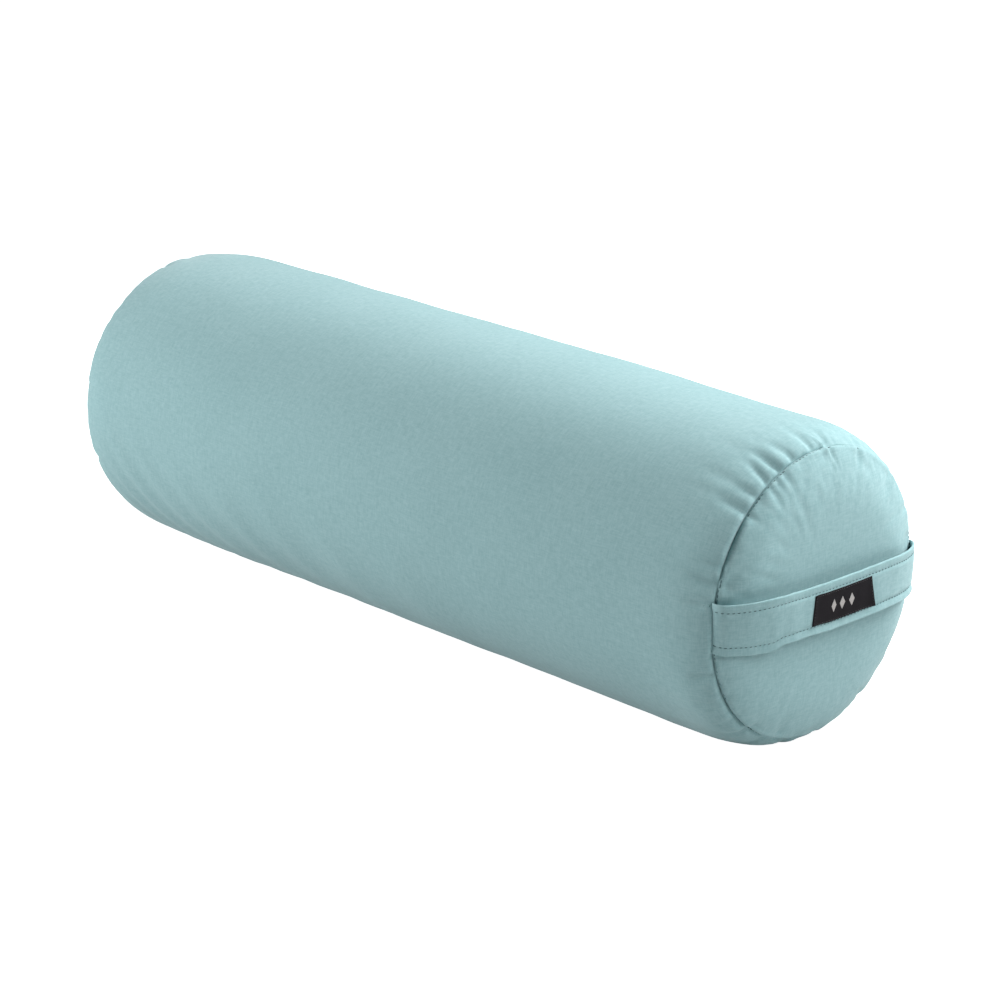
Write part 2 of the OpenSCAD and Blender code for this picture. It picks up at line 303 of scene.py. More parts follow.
def draw_in(cut, drawn, faces, hold):
    """Cloth simulation. The points that are held go from their cut places to their drawn ones, and
    the rest follow, under pressure from inside. hold is the share for each row. Returns where the
    points end up."""
    mesh = bpy.data.meshes.new("gathers")
    mesh.from_pydata(cut.tolist(), [], faces)
    cloth = link_object("gathers", mesh)
    pins = cloth.vertex_groups.new(name="pins")
    for row, share in enumerate(hold):
        pins.add(range(row * SIM_COLS, (row + 1) * SIM_COLS), float(share), "REPLACE")
    pins.add([len(cut) - 1], 1.0, "REPLACE")
    cloth.shape_key_add(name="cut")
    key = cloth.shape_key_add(name="drawn")
    key.data.foreach_set("co", drawn.astype(np.float32).ravel())
    for value, number in ((0, 1), (1, DRAWN_FRAME)):
        key.value = value
        key.keyframe_insert("value", frame=number)
    modifier = cloth.modifiers.new("cloth", "CLOTH")
    settings = modifier.settings
    settings.quality = 6
    settings.mass = 0.3
    settings.tension_stiffness = 40
    settings.compression_stiffness = 40
    settings.shear_stiffness = 5
    settings.bending_stiffness = 60
    settings.air_damping = 2
    settings.use_pressure = True
    settings.uniform_pressure_force = 4
    settings.vertex_group_mass = "pins"
    settings.effector_weights.gravity = 0
    modifier.collision_settings.use_collision = False
    modifier.point_cache.frame_start = 1
    modifier.point_cache.frame_end = SETTLED_FRAME + 2
    for number in range(1, SETTLED_FRAME + 1):
        bpy.context.scene.frame_set(number)
    settled = cloth.evaluated_get(bpy.context.evaluated_depsgraph_get()).to_mesh()
    found = np.zeros(len(settled.vertices) * 3, np.float32)
    settled.vertices.foreach_get("co", found)
    bpy.data.objects.remove(cloth)
    bpy.context.scene.frame_set(1)
    return found.reshape(-1, 3)


def simulate_gathers(ease, creases, seed):
    """The gathers of one end. The edges of the sleeve and panel are cut wider than the seam, by the
    share that ease gives round it, and buckle as the seam draws them in. Returns how far each point
    of the rows ends up from the plain form, along its normal."""
    dist, seam_row = gather_rows()
    rows = len(dist)
    x, r, nx, nr = (values[:, None] for values in on_meridian(dist + SEAM_ARC))
    rng = np.random.default_rng(seed)
    spread = np.where(dist < 0, np.exp(dist / (15 * MM)), 0.25 * np.exp(-dist / (9 * MM)))
    wide = 1 + spread[:, None] * ease[None]
    start = begun_creases(rng, dist, seam_row, creases)
    # The sewing eases more cloth into some places than others
    uneven = smooth_noise(rng, 4, SIM_COLS, 2, 40, 8)[0] * 0.3 * MM / SEAM_R
    drawn_turns = SIM_TURNS[None] + uneven[None] * np.exp(-np.abs(dist) / (12 * MM))[:, None]

    def ring_points(radii, turns):
        side = radii + nr * start
        along = x + nx * start
        places = np.stack([along, -side * np.sin(turns), side * np.cos(turns)], 2).reshape(-1, 3)
        return np.vstack([places, [[CROWN_X, 0, 0]]]) * SIM_SCALE

    cut = ring_points(r * wide, SIM_TURNS[None])
    drawn = ring_points(np.repeat(r, SIM_COLS, 1), drawn_turns)
    faces = ring_faces(rows, SIM_COLS)[:, ::-1].tolist()
    last = (rows - 1) * SIM_COLS
    faces += [(last + j, last + (j + 1) % SIM_COLS, rows * SIM_COLS) for j in range(SIM_COLS)]
    hold = np.clip(np.where(dist < 0, 0.006, 0.03) + (np.abs(dist) / (50 * MM)) ** 3, 0, 1)
    hold[seam_row] = 1
    found = draw_in(cut, drawn, faces, hold)[:-1].reshape(rows, SIM_COLS, 3) / SIM_SCALE
    radius = np.hypot(found[..., 1], found[..., 2])
    raised = (found[..., 0] - x) * nx + (radius - r) * nr
    return soften(raised - raised.mean(1, keepdims=True), dist, seam_row)


def soften(field, dist, seam_row):
    """Takes out what is finer than the cloth could fold, more so away from the seam."""
    waves = np.fft.rfftfreq(SIM_COLS, 1 / SIM_COLS)[None]
    finest = (120 - 75 * np.clip(np.abs(dist) / (40 * MM), 0, 1))[:, None]
    field = np.fft.irfft(np.fft.rfft(field, axis=1) * plateau(waves, 0, finest), SIM_COLS, axis=1)
    for _ in range(2):
        field[1:-1] = (field[:-2] + 2 * field[1:-1] + field[2:]) / 4
        field[seam_row] = 0
    # Pressure rounds the ridges and leaves the valleys between them sharp
    rounded = 1.6 * MM
    return rounded * (1 - np.exp(-np.clip(field, -2.5 * MM, None) / rounded))


def cover_gathers():
    handle_ease = ease_round(5, 0.02, [(50, 40, 0.08), (125, 26, 0.05), (215, 40, 0.03)])
    plain_ease = ease_round(8, 0.02, [(40, 40, 0.02), (250, 50, 0.03)])
    handle = simulate_gathers(handle_ease, HANDLE_CREASES, 3)
    plain = simulate_gathers(plain_ease, PLAIN_CREASES, 4)
    # The handle end is gathered hardest above and below the front end of the strap
    degrees = np.degrees(SIM_TURNS)
    gain = 1 + 1.2 * plateau(degrees, 54, 36) + 0.6 * plateau(degrees, 125, 24)
    return handle * gain, plain * 0.8


# ---------------- the relief of the cover

def cover_turns():
    """Angles of the cover's columns, closer beside the zip, and the first column whose cells lie
    over the zip's opening, which six of them cross."""
    edge = ZIP_HALF_GAP / COVER_R
    beside = np.array([0, 0.5, 1.3, 2.2, 2.9, 3.6, 4.6, 6.0, 7.6]) * MM / COVER_R
    first = ZIP_ANGLE + edge + beside
    last = ZIP_ANGLE + 2 * np.pi - edge - beside[::-1]
    between = np.linspace(first[-1], last[0], 358)[1:-1]
    crossing = ZIP_ANGLE + 2 * np.pi + np.array([-2.6, -0.8, 0, 0.8, 2.6]) * MM / COVER_R
    turns = np.concatenate([first, between, last, crossing])
    return turns, len(turns) - len(crossing) - 1


TURNS, GAP_FROM = cover_turns()
COLS = len(TURNS)
DEGREES = np.degrees(turned_from(TURNS))
# Distance round the cover of each column from the middle of the zip
ZIP_OFF = COVER_R * np.abs(turned_from(TURNS, ZIP_ANGLE))


def near_seam_rows():
    """Distances from a seam to the cover's rows: very close in the groove, then as simulated on the
    sleeve's side and on the panel's."""
    dist, seam_row = gather_rows()
    groove_rows = np.array([0, 0.25, 0.6, 1.0]) * MM
    return (np.concatenate([groove_rows, -dist[:seam_row][::-1]]),
            np.concatenate([groove_rows, dist[seam_row + 1:]]))


def above_liner(raised):
    """Keeps the cover from sinking to the inner bag."""
    start, room = -1.6 * MM, 1.1 * MM
    return np.where(raised < start, start + room * np.tanh((raised - start) / room), raised)


def groove(dist):
    """The seam pulls both edges down, less where it is stretched flat over the top at the back, and
    the panel's edge stands up a little beside it."""
    deep = -2.6 * MM
    sleeve = deep * np.exp(dist / (1.8 * MM))
    panel = deep * np.exp(-dist / (0.9 * MM)) + 0.7 * MM * bump(dist, 2.4 * MM, 1.3 * MM)
    share = 1 - 0.7 * plateau(DEGREES, -42, 36)
    return np.where(dist < 0, sleeve, panel)[:, None] * share[None]


def pleat(dist, length, depth, width):
    """One sharp, slanting fold across the handle end's seam, near the top: a valley with a ridge
    along one side."""
    slant = -0.35
    off = SEAM_R * turned_from(TURNS, math.radians(-3))[None] - slant * dist[:, None]
    along = bump(dist, 0, length)[:, None]
    return depth * along * (0.8 * bump(off, 1.6 * width, 1.3 * width) - bump(off, 0, width))


def read_field(field, row_places, at):
    """Reads a field, whose columns go once round, at the cover's angles and at places among rows."""
    cols = field.shape[1]
    turns = 2 * np.pi * np.arange(cols + 1) / cols
    by_turn = [np.interp(np.mod(TURNS, 2 * np.pi), turns, np.append(row, row[0])) for row in field]
    return np.stack([np.interp(at, row_places, column) for column in zip(*by_turn)], 1)


def fold_field(gathers, dist):
    """Gathers and groove at given distances from one seam."""
    return read_field(gathers, gather_rows()[0], dist) + groove(dist)


def slumps(x):
    """Broad unevenness of the stuffing."""
    rng = np.random.default_rng(11)
    rows, cols = 256, 128
    field = 0.3 * smooth_noise(rng, rows, cols, 7, 4) + 0.12 * smooth_noise(rng, rows, cols, 22, 9)
    # The field repeats along its rows and the sleeve doesn't, so the sleeve uses only part of them
    at = (x / (2 * CROWN_X) + 0.5) * 0.8 * rows
    return read_field(field, np.arange(rows), at) * MM


def drape(x):
    """Soft slanting folds low on the front of the sleeve, stronger towards the plain end."""
    # Each fold: x in mm at 110 degrees, how far x moves for each degree, half width, height, reach
    folds = [(-312, 1.0, 6, 1.5, 24), (-292, 1.1, 6, 1.9, 26), (-268, 1.2, 7, 2.1, 28),
             (-236, 1.3, 8, 2.2, 28), (-198, 1.3, 9, 2.0, 28), (-150, 1.2, 10, 2.0, 26),
             (-96, 1.1, 11, 1.7, 26), (-35, 1.0, 13, 1.3, 24), (40, 0.8, 15, 0.9, 24),
             (120, 0.4, 18, 0.5, 24)]
    total = np.zeros((len(x), COLS))
    for place, slant, width, height, reach in folds:
        line = (place * MM + slant * MM * (DEGREES - 110))[None]
        total += height * MM * bump(x[:, None], line, width * MM) * bump(DEGREES, 121, 0.85 * reach)
    return total


def sags(x, to_seam):
    """The stuffing has settled a little along the top, most of all near each end."""
    along = 2.6 * MM * bump(x, 250 * MM, 80 * MM) + 2.8 * MM * bump(x, -312 * MM, 20 * MM)
    off_seam = 1 - bump(to_seam, 0, 14 * MM)
    return -(along * off_seam)[:, None] * bump(DEGREES, -25, 50)


def zip_hem(x):
    """The folded edges of the sleeve along the zip, with a dent at their stitches."""
    off = ZIP_OFF - ZIP_HALF_GAP
    hem = 0.35 * MM * bump(off, 1.3 * MM, 1.2 * MM)
    hem -= 0.4 * MM * bump(off, ZIP_STITCH_ROW - ZIP_HALF_GAP, 0.7 * MM)
    hem[off < -0.01 * MM] = 0
    return within(np.abs(x), ZIP_HALF_L, 2 * MM)[:, None] * hem[None]


def strap_dent(dist):
    """Hollow that the ends of the strap press into the handle end's panel."""
    _, r, _, _ = on_meridian(dist + SEAM_ARC)
    at = around_axis(0, r[:, None], TURNS[None])
    under = within(np.abs(at[..., 2] - STRAP_Z), STRAP_HALF_W + 1 * MM, 1.2 * MM)
    level = np.cos(TURNS)[None] ** 2 < 0.2
    return 1.1 * MM * under * bump(np.abs(at[..., 1]), 97 * MM, 14 * MM) * level


def over_anchors(raised, dist):
    """The ends of the strap, sewn down inside, keep the sleeve up beside the handle end's seam."""
    height = np.abs(AXIS_Z + COVER_R * np.cos(TURNS)[None] - STRAP_Z)
    held = within(height, STRAP_HALF_W, 1.5 * MM) * bump(dist, -5 * MM, 4.5 * MM)[:, None]
    return raised * (1 - held) + np.maximum(raised, -0.3 * MM) * held


def sleeve_relief(arcs, handle_folds, plain_folds):
    """How far the sleeve is raised off its plain form, for rows at arcs from its middle."""
    x = np.sign(arcs) * np.interp(np.abs(arcs), ARC, ARC_X)
    to_seam = np.abs(arcs) - SEAM_ARC
    at_handle = arcs[:, None] > 0
    raised = np.where(at_handle, fold_field(handle_folds, to_seam), fold_field(plain_folds, to_seam))
    fade = 1 - bump(to_seam, 0, 45 * MM)
    calm = 1 - 0.85 * bump(ZIP_OFF, 0, 18 * MM)
    raised += (slumps(x) * calm[None] + drape(x)) * fade[:, None]
    raised += sags(x, to_seam)
    raised += pleat(to_seam, 13 * MM, 2 * MM, 1.1 * MM) * at_handle
    raised = above_liner(raised + zip_hem(x))
    return np.where(at_handle, over_anchors(raised, to_seam), raised)


def panel_relief(dist, folds, at_handle):
    """How far an end panel is raised off its plain form, for rows at distances from its seam."""
    raised = fold_field(folds, dist)
    if at_handle:
        raised += pleat(dist, 12 * MM, 1.6 * MM, 1.3 * MM)
        raised -= strap_dent(dist)
    return above_liner(raised)


# ---------------- the cover

def place_on_cover(arcs, raised):
    """Points on the cover, raised along its normal. Arcs are negative towards the plain end."""
    x, r, nx, nr = (values[:, None] for values in on_meridian(np.abs(arcs)))
    side = np.where(arcs < 0, -1.0, 1.0)[:, None]
    return settle(around_axis(side * (x + nx * raised), r + nr * raised, TURNS[None]))


def face_corners(uv):
    """Flat coordinates of the corners of the faces that ring_faces makes."""
    return np.stack([uv[:-1, :-1], uv[1:, :-1], uv[1:, 1:], uv[:-1, 1:]], 2).reshape(-1, 4, 2)


def wrapped(uv):
    """Flat coordinates with one more column, past the last."""
    return np.concatenate([uv, 2 * uv[:, -1:] - uv[:, -2:-1]], 1)


def solid_cloth(name, outer, inner, uv, wrap=True, open_cells=None, cap=None):
    """A closed piece of cloth between two grids of points. open_cells marks cells left out, and
    cap holds the outer and inner points that close the last ring."""
    rows, cols, _ = outer.shape
    count = rows * cols
    quads = ring_faces(rows, cols, wrap)
    corners = face_corners(wrapped(uv) if wrap else uv)
    if open_cells is not None:
        quads = quads[~open_cells.ravel()]
        corners = corners[~open_cells.ravel()]
    points = [outer.reshape(-1, 3), inner.reshape(-1, 3)]
    flat = np.tile(uv.reshape(-1, 2), (2, 1))
    rim = rim_quads(quads, count)
    fans = []
    if cap is not None:
        last = count - cols
        rim = rim[(rim[:, 0] < last) | (rim[:, 0] >= count)]
        points += [np.array(cap)]
        j = last + np.arange(cols)
        k = last + (np.arange(cols) + 1) % cols
        middle = np.full(cols, 2 * count)
        fans = [np.stack([j, middle, k], 1), np.stack([k + count, middle + 1, j + count], 1)]
        flat = np.vstack([flat, np.array(cap)[:, 1:]])
    uvs = [corners.reshape(-1, 2), corners[:, ::-1].reshape(-1, 2), flat[rim].reshape(-1, 2)]
    uvs += [flat[fan].reshape(-1, 2) for fan in fans]
    faces = np.vstack([quads, quads[:, ::-1] + count, rim]).tolist()
    faces += [face for fan in fans for face in fan.tolist()]
    return build_solid(name, np.vstack(points), faces, np.vstack(uvs))


def rim_quads(quads, count):
    """Faces that close the edges of the cloth between its outer and inner skins."""
    edges = np.vstack([quads[:, [k, (k + 1) % 4]] for k in range(4)]).astype(np.int64)
    key = edges.min(1) * (10 ** 7) + edges.max(1)
    _, where, times = np.unique(key, return_index=True, return_counts=True)
    border = edges[where[times == 1]]
    return np.stack([border[:, 1], border[:, 0], border[:, 0] + count, border[:, 1] + count], 1)


def thick_cloth(name, grid, uv, open_cells=None, cap=None):
    """A closed piece of cloth, one thickness deep, from a ring grid of the points of its outside."""
    around = np.roll(grid, -1, 1) - np.roll(grid, 1, 1)
    normal = unit(np.cross(np.gradient(grid, axis=0), around))
    outward = np.sign((normal * (grid - np.array([0, 0, AXIS_Z]))).sum())
    return solid_cloth(name, grid, grid - normal * outward * CLOTH_T, uv, True, open_cells, cap)


def make_sleeve(canvas, seam_rows, handle_folds, plain_folds):
    slot_end = float(np.interp(ZIP_HALF_L, ARC_X, ARC))
    middle = np.linspace(0, SEAM_ARC - seam_rows[-1], 28)[:-1]
    half = np.concatenate([middle, (SEAM_ARC - seam_rows)[::-1]])
    half[np.abs(half - slot_end).argmin()] = slot_end
    arcs = np.concatenate([-half[:0:-1], half])
    grid = place_on_cover(arcs, sleeve_relief(arcs, handle_folds, plain_folds))
    uv = np.stack(np.broadcast_arrays(arcs[:, None], (COVER_R * TURNS)[None]), 2)
    row_open = (np.abs(arcs[:-1] + arcs[1:]) / 2) < slot_end
    col_open = np.arange(COLS) >= GAP_FROM
    sleeve = thick_cloth("sleeve", grid, uv, row_open[:, None] & col_open[None])
    dress(sleeve, canvas, "bolster", "cover_sleeve")


def make_end_panel(canvas, end_name, way, seam_rows, folds):
    grid = place_on_cover(way * (seam_rows + SEAM_ARC), panel_relief(seam_rows, folds, way > 0))
    cap = [(way * (CROWN_X - depth), 0, AXIS_Z) for depth in (0, CLOTH_T)]
    panel = thick_cloth("end_panel_" + end_name, grid, grid[..., 1:], cap=cap)
    dress(panel, canvas, "bolster", "cover_end_" + end_name)


def make_cover(canvas):
    """The sleeve and the two end panels."""
    handle_folds, plain_folds = cover_gathers()
    sleeve_rows, panel_rows = near_seam_rows()
    make_sleeve(canvas, sleeve_rows, handle_folds, plain_folds)
    make_end_panel(canvas, "handle", 1, panel_rows, handle_folds)
    make_end_panel(canvas, "plain", -1, panel_rows, plain_folds)


# ---------------- stitches

def stitch_spans(low, high, pitch=3.5 * MM, length=2.5 * MM):
    """Where each stitch of a row starts and ends, along the row."""
    count = int(round((high - low) / pitch))
    middles = low + (np.arange(count) + 0.5) * (high - low) / count
    return middles - length / 2, middles + length / 2


def stitches(name, starts, ends, normals, width=0.5 * MM, lift=0.12 * MM, sink=0.35 * MM):
    """Many stitches in one mesh. Each is a rounded, arched length of thread between two points.
    starts, ends and normals are each an array with a row for each stitch, or a list of arrays."""
    starts, ends, normals = np.vstack(starts), np.vstack(ends), np.vstack(normals)
    rings, sides = 7, 6
    share = np.linspace(0, 1, rings)
    arch = np.sin(np.pi * share) ** 0.6
    along = unit(ends - starts)
    across = unit(np.cross(along, normals))
    normals = np.cross(across, along)
    middle = starts[:, None] + (ends - starts)[:, None] * share[None, :, None]
    middle = middle + normals[:, None] * ((lift + sink) * arch - sink)[None, :, None]
    radius = width / 2 * (0.45 + 0.55 * np.sin(np.pi * share) ** 0.5)
    points = round_sections(middle, radius[:, None, None], normals[:, None], across[:, None], sides)
    tube = tube_faces(rings, sides)
    faces = [[corner + base * rings * sides for corner in face]
             for base in range(len(starts)) for face in tube]
    return build_solid(name, points.reshape(-1, 3), faces)


def seam_stitches(end_name, way, material):
    """The thread of an end seam, seen as short lengths down in its groove."""
    out = SEAM_R - 1.6 * MM
    low, high = stitch_spans(0, 2 * np.pi * SEAM_R, 3.4 * MM, 3.3 * MM)
    starts, ends = (settle(around_axis(way * SEAM_X, out, along / SEAM_R)) for along in (low, high))
    turn = (low + high) / 2 / SEAM_R
    slant = 0.7
    normals = unit(np.stack([np.full(len(turn), way * slant), -np.sin(turn), np.cos(turn)], 1))
    piece = stitches("seam_thread_" + end_name, starts, ends, normals, 0.95 * MM)
    dress(piece, material, "bolster", "end_seam_thread_" + end_name)


def anchor_stitches(material):
    """Two rows inside the cover, behind each end of the strap, that hold it in the seam."""
    starts, ends, normals = [], [], []
    half_row = STRAP_HALF_W - 3 * MM
    low, high = stitch_spans(-half_row, half_row, 3.2 * MM, 2.3 * MM)
    for side in (-1, 1):
        for row in (1, 2):
            x = SEAM_X - 3 * MM * row
            y = side * (float(rounded_radius(np.array(x))) - 2.6 * MM)
            for heights, places in ((low, starts), (high, ends)):
                places.append(np.stack(np.broadcast_arrays(x, y, STRAP_Z + heights), 1))
            normals.append(np.tile([0.0, side, 0.0], (len(low), 1)))
    piece = stitches("strap_anchor_sewing", starts, ends, normals, 0.5 * MM, 0.1 * MM, 0.2 * MM)
    dress(piece, material, "bolster", "handle_anchor_stitches")


# ---------------- the strap

STRAP_HALF = SEAM_R + 1 * MM
STRAP_HALF_T = 1.5 * MM
STRAP_RISE = strap_high.x - STRAP_HALF_T - SEAM_X
STRAP_POWER = 4.5
TOPSTITCH_ROW = STRAP_HALF_W - 5.5 * MM
WEBBING_HALF_W = STRAP_HALF_W - 6.6 * MM
WEBBING_HALF_T = 0.6 * MM
# How hard the strap leans along it, in mm: its top edge goes half as far again out, and its lower
# edge half as far in
STRAP_LEAN_S = (-114, -100, -74, -34, 40, 94, 114)
STRAP_LEAN = (0.6, 2.7, 2.7, 0.3, 0.2, 0.6, 0)
# How far the strap's top and lower edges stray up or down along it, in mm
STRAP_EDGE_S = (-114, -97, -80, -66, -54, -33, -10, 50, 90, 114)
STRAP_TOP_SHIFT = (-1.5, -1.3, -0.6, -0.1, -0.9, -2.2, -2.6, -2.6, -4.6, -6.5)
STRAP_LOW_SHIFT = (-0.8, -3.2, -4, -4.2, -1.4, -1, -2.3, -2.3, -3.5, -5.2)


def strap_path():
    """Arc length from its middle, x and y along the strap."""
    y = STRAP_HALF * np.linspace(-1, 1, 4001)
    x = SEAM_X + STRAP_RISE * (1 - np.abs(y / STRAP_HALF) ** STRAP_POWER)
    arc = run_length(x, y)
    return arc - arc[-1] / 2, x, y


PATH_S, PATH_X, PATH_Y = strap_path()
STRAP_REACH = float(PATH_S[-1])


def eased(at, places, values):
    """A smooth curve in metres through values given in mm, at places in mm, and level at each."""
    places = np.asarray(places) * MM
    values = np.asarray(values) * MM
    i = np.clip(np.searchsorted(places, at) - 1, 0, len(places) - 2)
    t = np.clip((at - places[i]) / (places[i + 1] - places[i]), 0, 1)
    return values[i] + (values[i + 1] - values[i]) * t * t * (3 - 2 * t)


def strap_waves(s, across):
    """Small unevenness of the strap's cloth, in metres."""
    rng = np.random.default_rng(23)
    count = 10
    total = 0
    for _ in range(count):
        wave_s = rng.uniform(1, 5) / (20 * MM)
        wave_a = rng.uniform(-3, 3) / (20 * MM)
        total = total + np.sin(wave_s * s * 2 + wave_a * across + rng.uniform(0, 6.28)) / count
    near_end = np.exp(-(STRAP_REACH - np.abs(s)) / (14 * MM))
    return total * (0.35 + 0.5 * near_end) * MM


def strap_place(s, across, out):
    """A point of the strap: s along it from its middle, across it upwards, out from its mid-plane."""
    s, across, out = np.broadcast_arrays(s, across, out)
    dx = rise(s, PATH_S, PATH_X, 1 * MM)
    dy = rise(s, PATH_S, PATH_Y, 1 * MM)
    length = np.hypot(dx, dy)
    share = across / STRAP_HALF_W
    sink = -5 * MM * np.exp(-(STRAP_REACH - np.abs(s)) / (2.8 * MM))
    lean = (share + 0.5) * eased(s, STRAP_LEAN_S, STRAP_LEAN)
    top = eased(s, STRAP_EDGE_S, STRAP_TOP_SHIFT)
    low = eased(s, STRAP_EDGE_S, STRAP_LOW_SHIFT)
    shift = low + (top - low) * (share + 1) / 2
    # The folded edge below the lower stitches stands out a little
    flare = 1.4 * MM * np.clip((-across - TOPSTITCH_ROW) / (STRAP_HALF_W - TOPSTITCH_ROW), 0, 1)
    off = out + sink + lean + flare + strap_waves(s, across)
    x = np.interp(s, PATH_S, PATH_X) + dy / length * off
    y = np.interp(s, PATH_S, PATH_Y) - dx / length * off
    return np.stack([x, y, STRAP_Z + across + shift], -1)


def way_out(place, along, across):
    """Direction out of the strap or the label at a point that its own place function gives."""
    return (place(along, across, 1 * MM) - place(along, across, 0)) / MM


def strap_half_t(s, across):
    """Half the strap's thickness: full rolled edges, drawn in along the stitches."""
    a = np.abs(across)
    # The webbing inside ends at the stitches, and only folded cloth goes on to the edge
    flange_half_t = 1 * MM
    edge = np.clip((a - (STRAP_HALF_W - flange_half_t)) / flange_half_t, 0, 1)
    webbed = within(a, TOPSTITCH_ROW + 0.6 * MM, 0.4 * MM)
    flat = flange_half_t + (STRAP_HALF_T - flange_half_t) * webbed
    dent = 0.5 * bump(a, TOPSTITCH_ROW, 1.1 * MM)
    # Each stitch pulls down a little dimple
    dimple = 0.1 * bump(a, TOPSTITCH_ROW, 1.6 * MM) * np.cos(2 * np.pi * s / (3.5 * MM))
    thick = flat * (1 - dent - dimple) * np.sqrt(1 - edge ** 2)
    ends = 0.5 + 0.5 * (1 - np.exp(-(STRAP_REACH - np.abs(s)) / (4 * MM)))
    return thick * ends


def webbing_half_t(s, across):
    """Half the webbing's thickness, with round edges."""
    edge = np.clip((np.abs(across) - (WEBBING_HALF_W - WEBBING_HALF_T)) / WEBBING_HALF_T, 0, 1)
    return WEBBING_HALF_T * np.sqrt(1 - edge ** 2)


def band(name, half_w, half_t, reach, sections):
    """A closed band along the strap's path, whose half thickness is half_t(s, across)."""
    # Places across the band, close together at the strap's stitches and edges
    half = [0, 3, 6, 8.5, 10.2, 11.1, 11.7, 12.3, 12.9, 13.8, 14.8, 15.6, 16.2, 16.7, 17.1, 17.35, 17.48,
            17.5]
    half = np.array(half) / half[-1] * half_w
    across = np.concatenate([half[:0:-1], -half])
    s = np.linspace(-reach, reach, sections)[:, None]
    ring = np.concatenate([across, across[-2:0:-1]])[None]
    face = np.concatenate([np.ones(len(across)), -np.ones(len(across) - 2)])[None]
    grid = strap_place(s, ring, face * half_t(s, ring))
    around = np.concatenate([[0], np.cumsum(np.abs(np.diff(ring[0])))])
    uv = wrapped(np.stack(np.broadcast_arrays(s, around[None]), 2))
    rows, cols, _ = grid.shape
    uvs = [face_corners(uv).reshape(-1, 2), uv[0, :cols], uv[-1, :cols][::-1]]
    return build_solid(name, grid.reshape(-1, 3), tube_faces(rows, cols), np.vstack(uvs))


def bend_with_strap(piece, material, node):
    """Gives a piece that is held with the strap's ends in the seam its material, hides its CAD node and
    bakes its place into its points.
    """
    piece.data.materials.append(material)
    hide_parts(node)
    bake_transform(piece)


def make_strap(cloth, webbing, sewing):
    strap = band("strap", STRAP_HALF_W, strap_half_t, STRAP_REACH, 230)
    bend_with_strap(strap, cloth, "handle_strap")
    web = band("strap_webbing", WEBBING_HALF_W, webbing_half_t, STRAP_REACH - 12 * MM, 120)
    bend_with_strap(web, webbing, "handle_webbing")
    for row_name, row in (("upper", TOPSTITCH_ROW), ("lower", -TOPSTITCH_ROW)):
        low, high = stitch_spans(-STRAP_REACH + 1 * MM, STRAP_REACH - 1 * MM)
        # Each row shows on both faces of the strap
        starts, ends = ([strap_place(s, row, face * strap_half_t(s, row)) for face in (1, -1)]
                        for s in (low, high))
        normals = [face * way_out(strap_place, (low + high) / 2, row) for face in (1, -1)]
        piece = stitches("strap_topstitch_" + row_name, starts, ends, normals, 0.6 * MM, 0.2 * MM)
        bend_with_strap(piece, sewing, "handle_topstitch_" + row_name)


# ---------------- the label

def label_place(u, v, out):
    """A point of the label: u from its front end to its far end, v upwards, both from -1 to 1."""
    u, v, out = np.broadcast_arrays(u, v, out)
    below = (1 - v) / 2
    # The ends slant, and the label is a little larger than its CAD solid
    half_l = LABEL_HALF_L + (np.where(u < 0, -2, 1) + below * np.where(u < 0, 2, 4)) * MM
    s = u * half_l
    across = v * (LABEL_HALF_W + 1.1 * MM)
    # The lower far corner has come away, and the long edges wave a little
    lift = 1.5 * MM * np.clip((u - 0.55) / 0.45, 0, 1) ** 2 * below ** 2
    wave = 0.12 * MM * np.sin(4.5 * u + 1) * (0.4 + np.abs(v))
    gap = 0.22 * MM
    return strap_place(s, across, strap_half_t(s, 0) + gap + out + lift + wave)


def label_places(edge, fine, coarse):
    """Places from -1 to 1 along or across the label, closer together past the edge."""
    ends = np.linspace(edge, 1, fine)
    return np.concatenate([-ends[::-1], np.linspace(-edge, edge, coarse)[1:-1], ends])


def make_label(weave, label_thread):
    u = label_places(0.93, 6, 40)[:, None]
    v = label_places(0.9, 5, 16)[None]
    # The ends are folded under, so the label is thickest there
    round_off = np.sqrt(1 - np.clip((np.abs(u) - 0.985) / 0.015, 0, 1) ** 2)
    round_off = round_off * np.sqrt(1 - np.clip((np.abs(v) - 0.97) / 0.03, 0, 1) ** 2)
    fold = 0.18 * MM * (1 - within(np.abs(u), 0.88, 0.012))
    half_t = (0.28 * MM + fold / 2) * round_off
    outer, inner = (label_place(u, v, fold / 2 + face * half_t) for face in (1, -1))
    uv = np.stack(np.broadcast_arrays(u * LABEL_HALF_L, v * LABEL_HALF_W), 2)
    label = solid_cloth("label_patch", outer, inner, uv, wrap=False)
    dress(label, weave, "carry_strap", "label")
    starts, ends, normals = [], [], []
    low, high = stitch_spans(-0.9, 0.9, 0.2, 0.14)
    top = fold.max() + 0.3 * MM
    for end in (-0.95, 0.95):
        starts.append(label_place(end, low, top))
        ends.append(label_place(end, high, top))
        normals.append(way_out(label_place, end, low))
    low, high = stitch_spans(-0.93, 0.93, 0.078, 0.056)
    for edge in (-0.9, 0.9):
        starts.append(label_place(low, edge, 0.3 * MM))
        ends.append(label_place(high, edge, 0.3 * MM))
        normals.append(way_out(label_place, low, edge))
    sewn = stitches("label_sewing", starts, ends, normals, 0.32 * MM, 0.08 * MM, 0.25 * MM)
    dress(sewn, label_thread, "carry_strap", "label_stitching")


# ---------------- the zip

SLIDER_TRAVEL = 519 * MM
# The slider's post stands this far from the middle of the slider, towards the closed end
POST_OFFSET = 3.75 * MM
COIL_R = 113.7 * MM
ZIP_OUT = np.array([0, -math.sin(ZIP_ANGLE), math.cos(ZIP_ANGLE)])
ZIP_UP = np.array([0, math.cos(ZIP_ANGLE), math.sin(ZIP_ANGLE)])


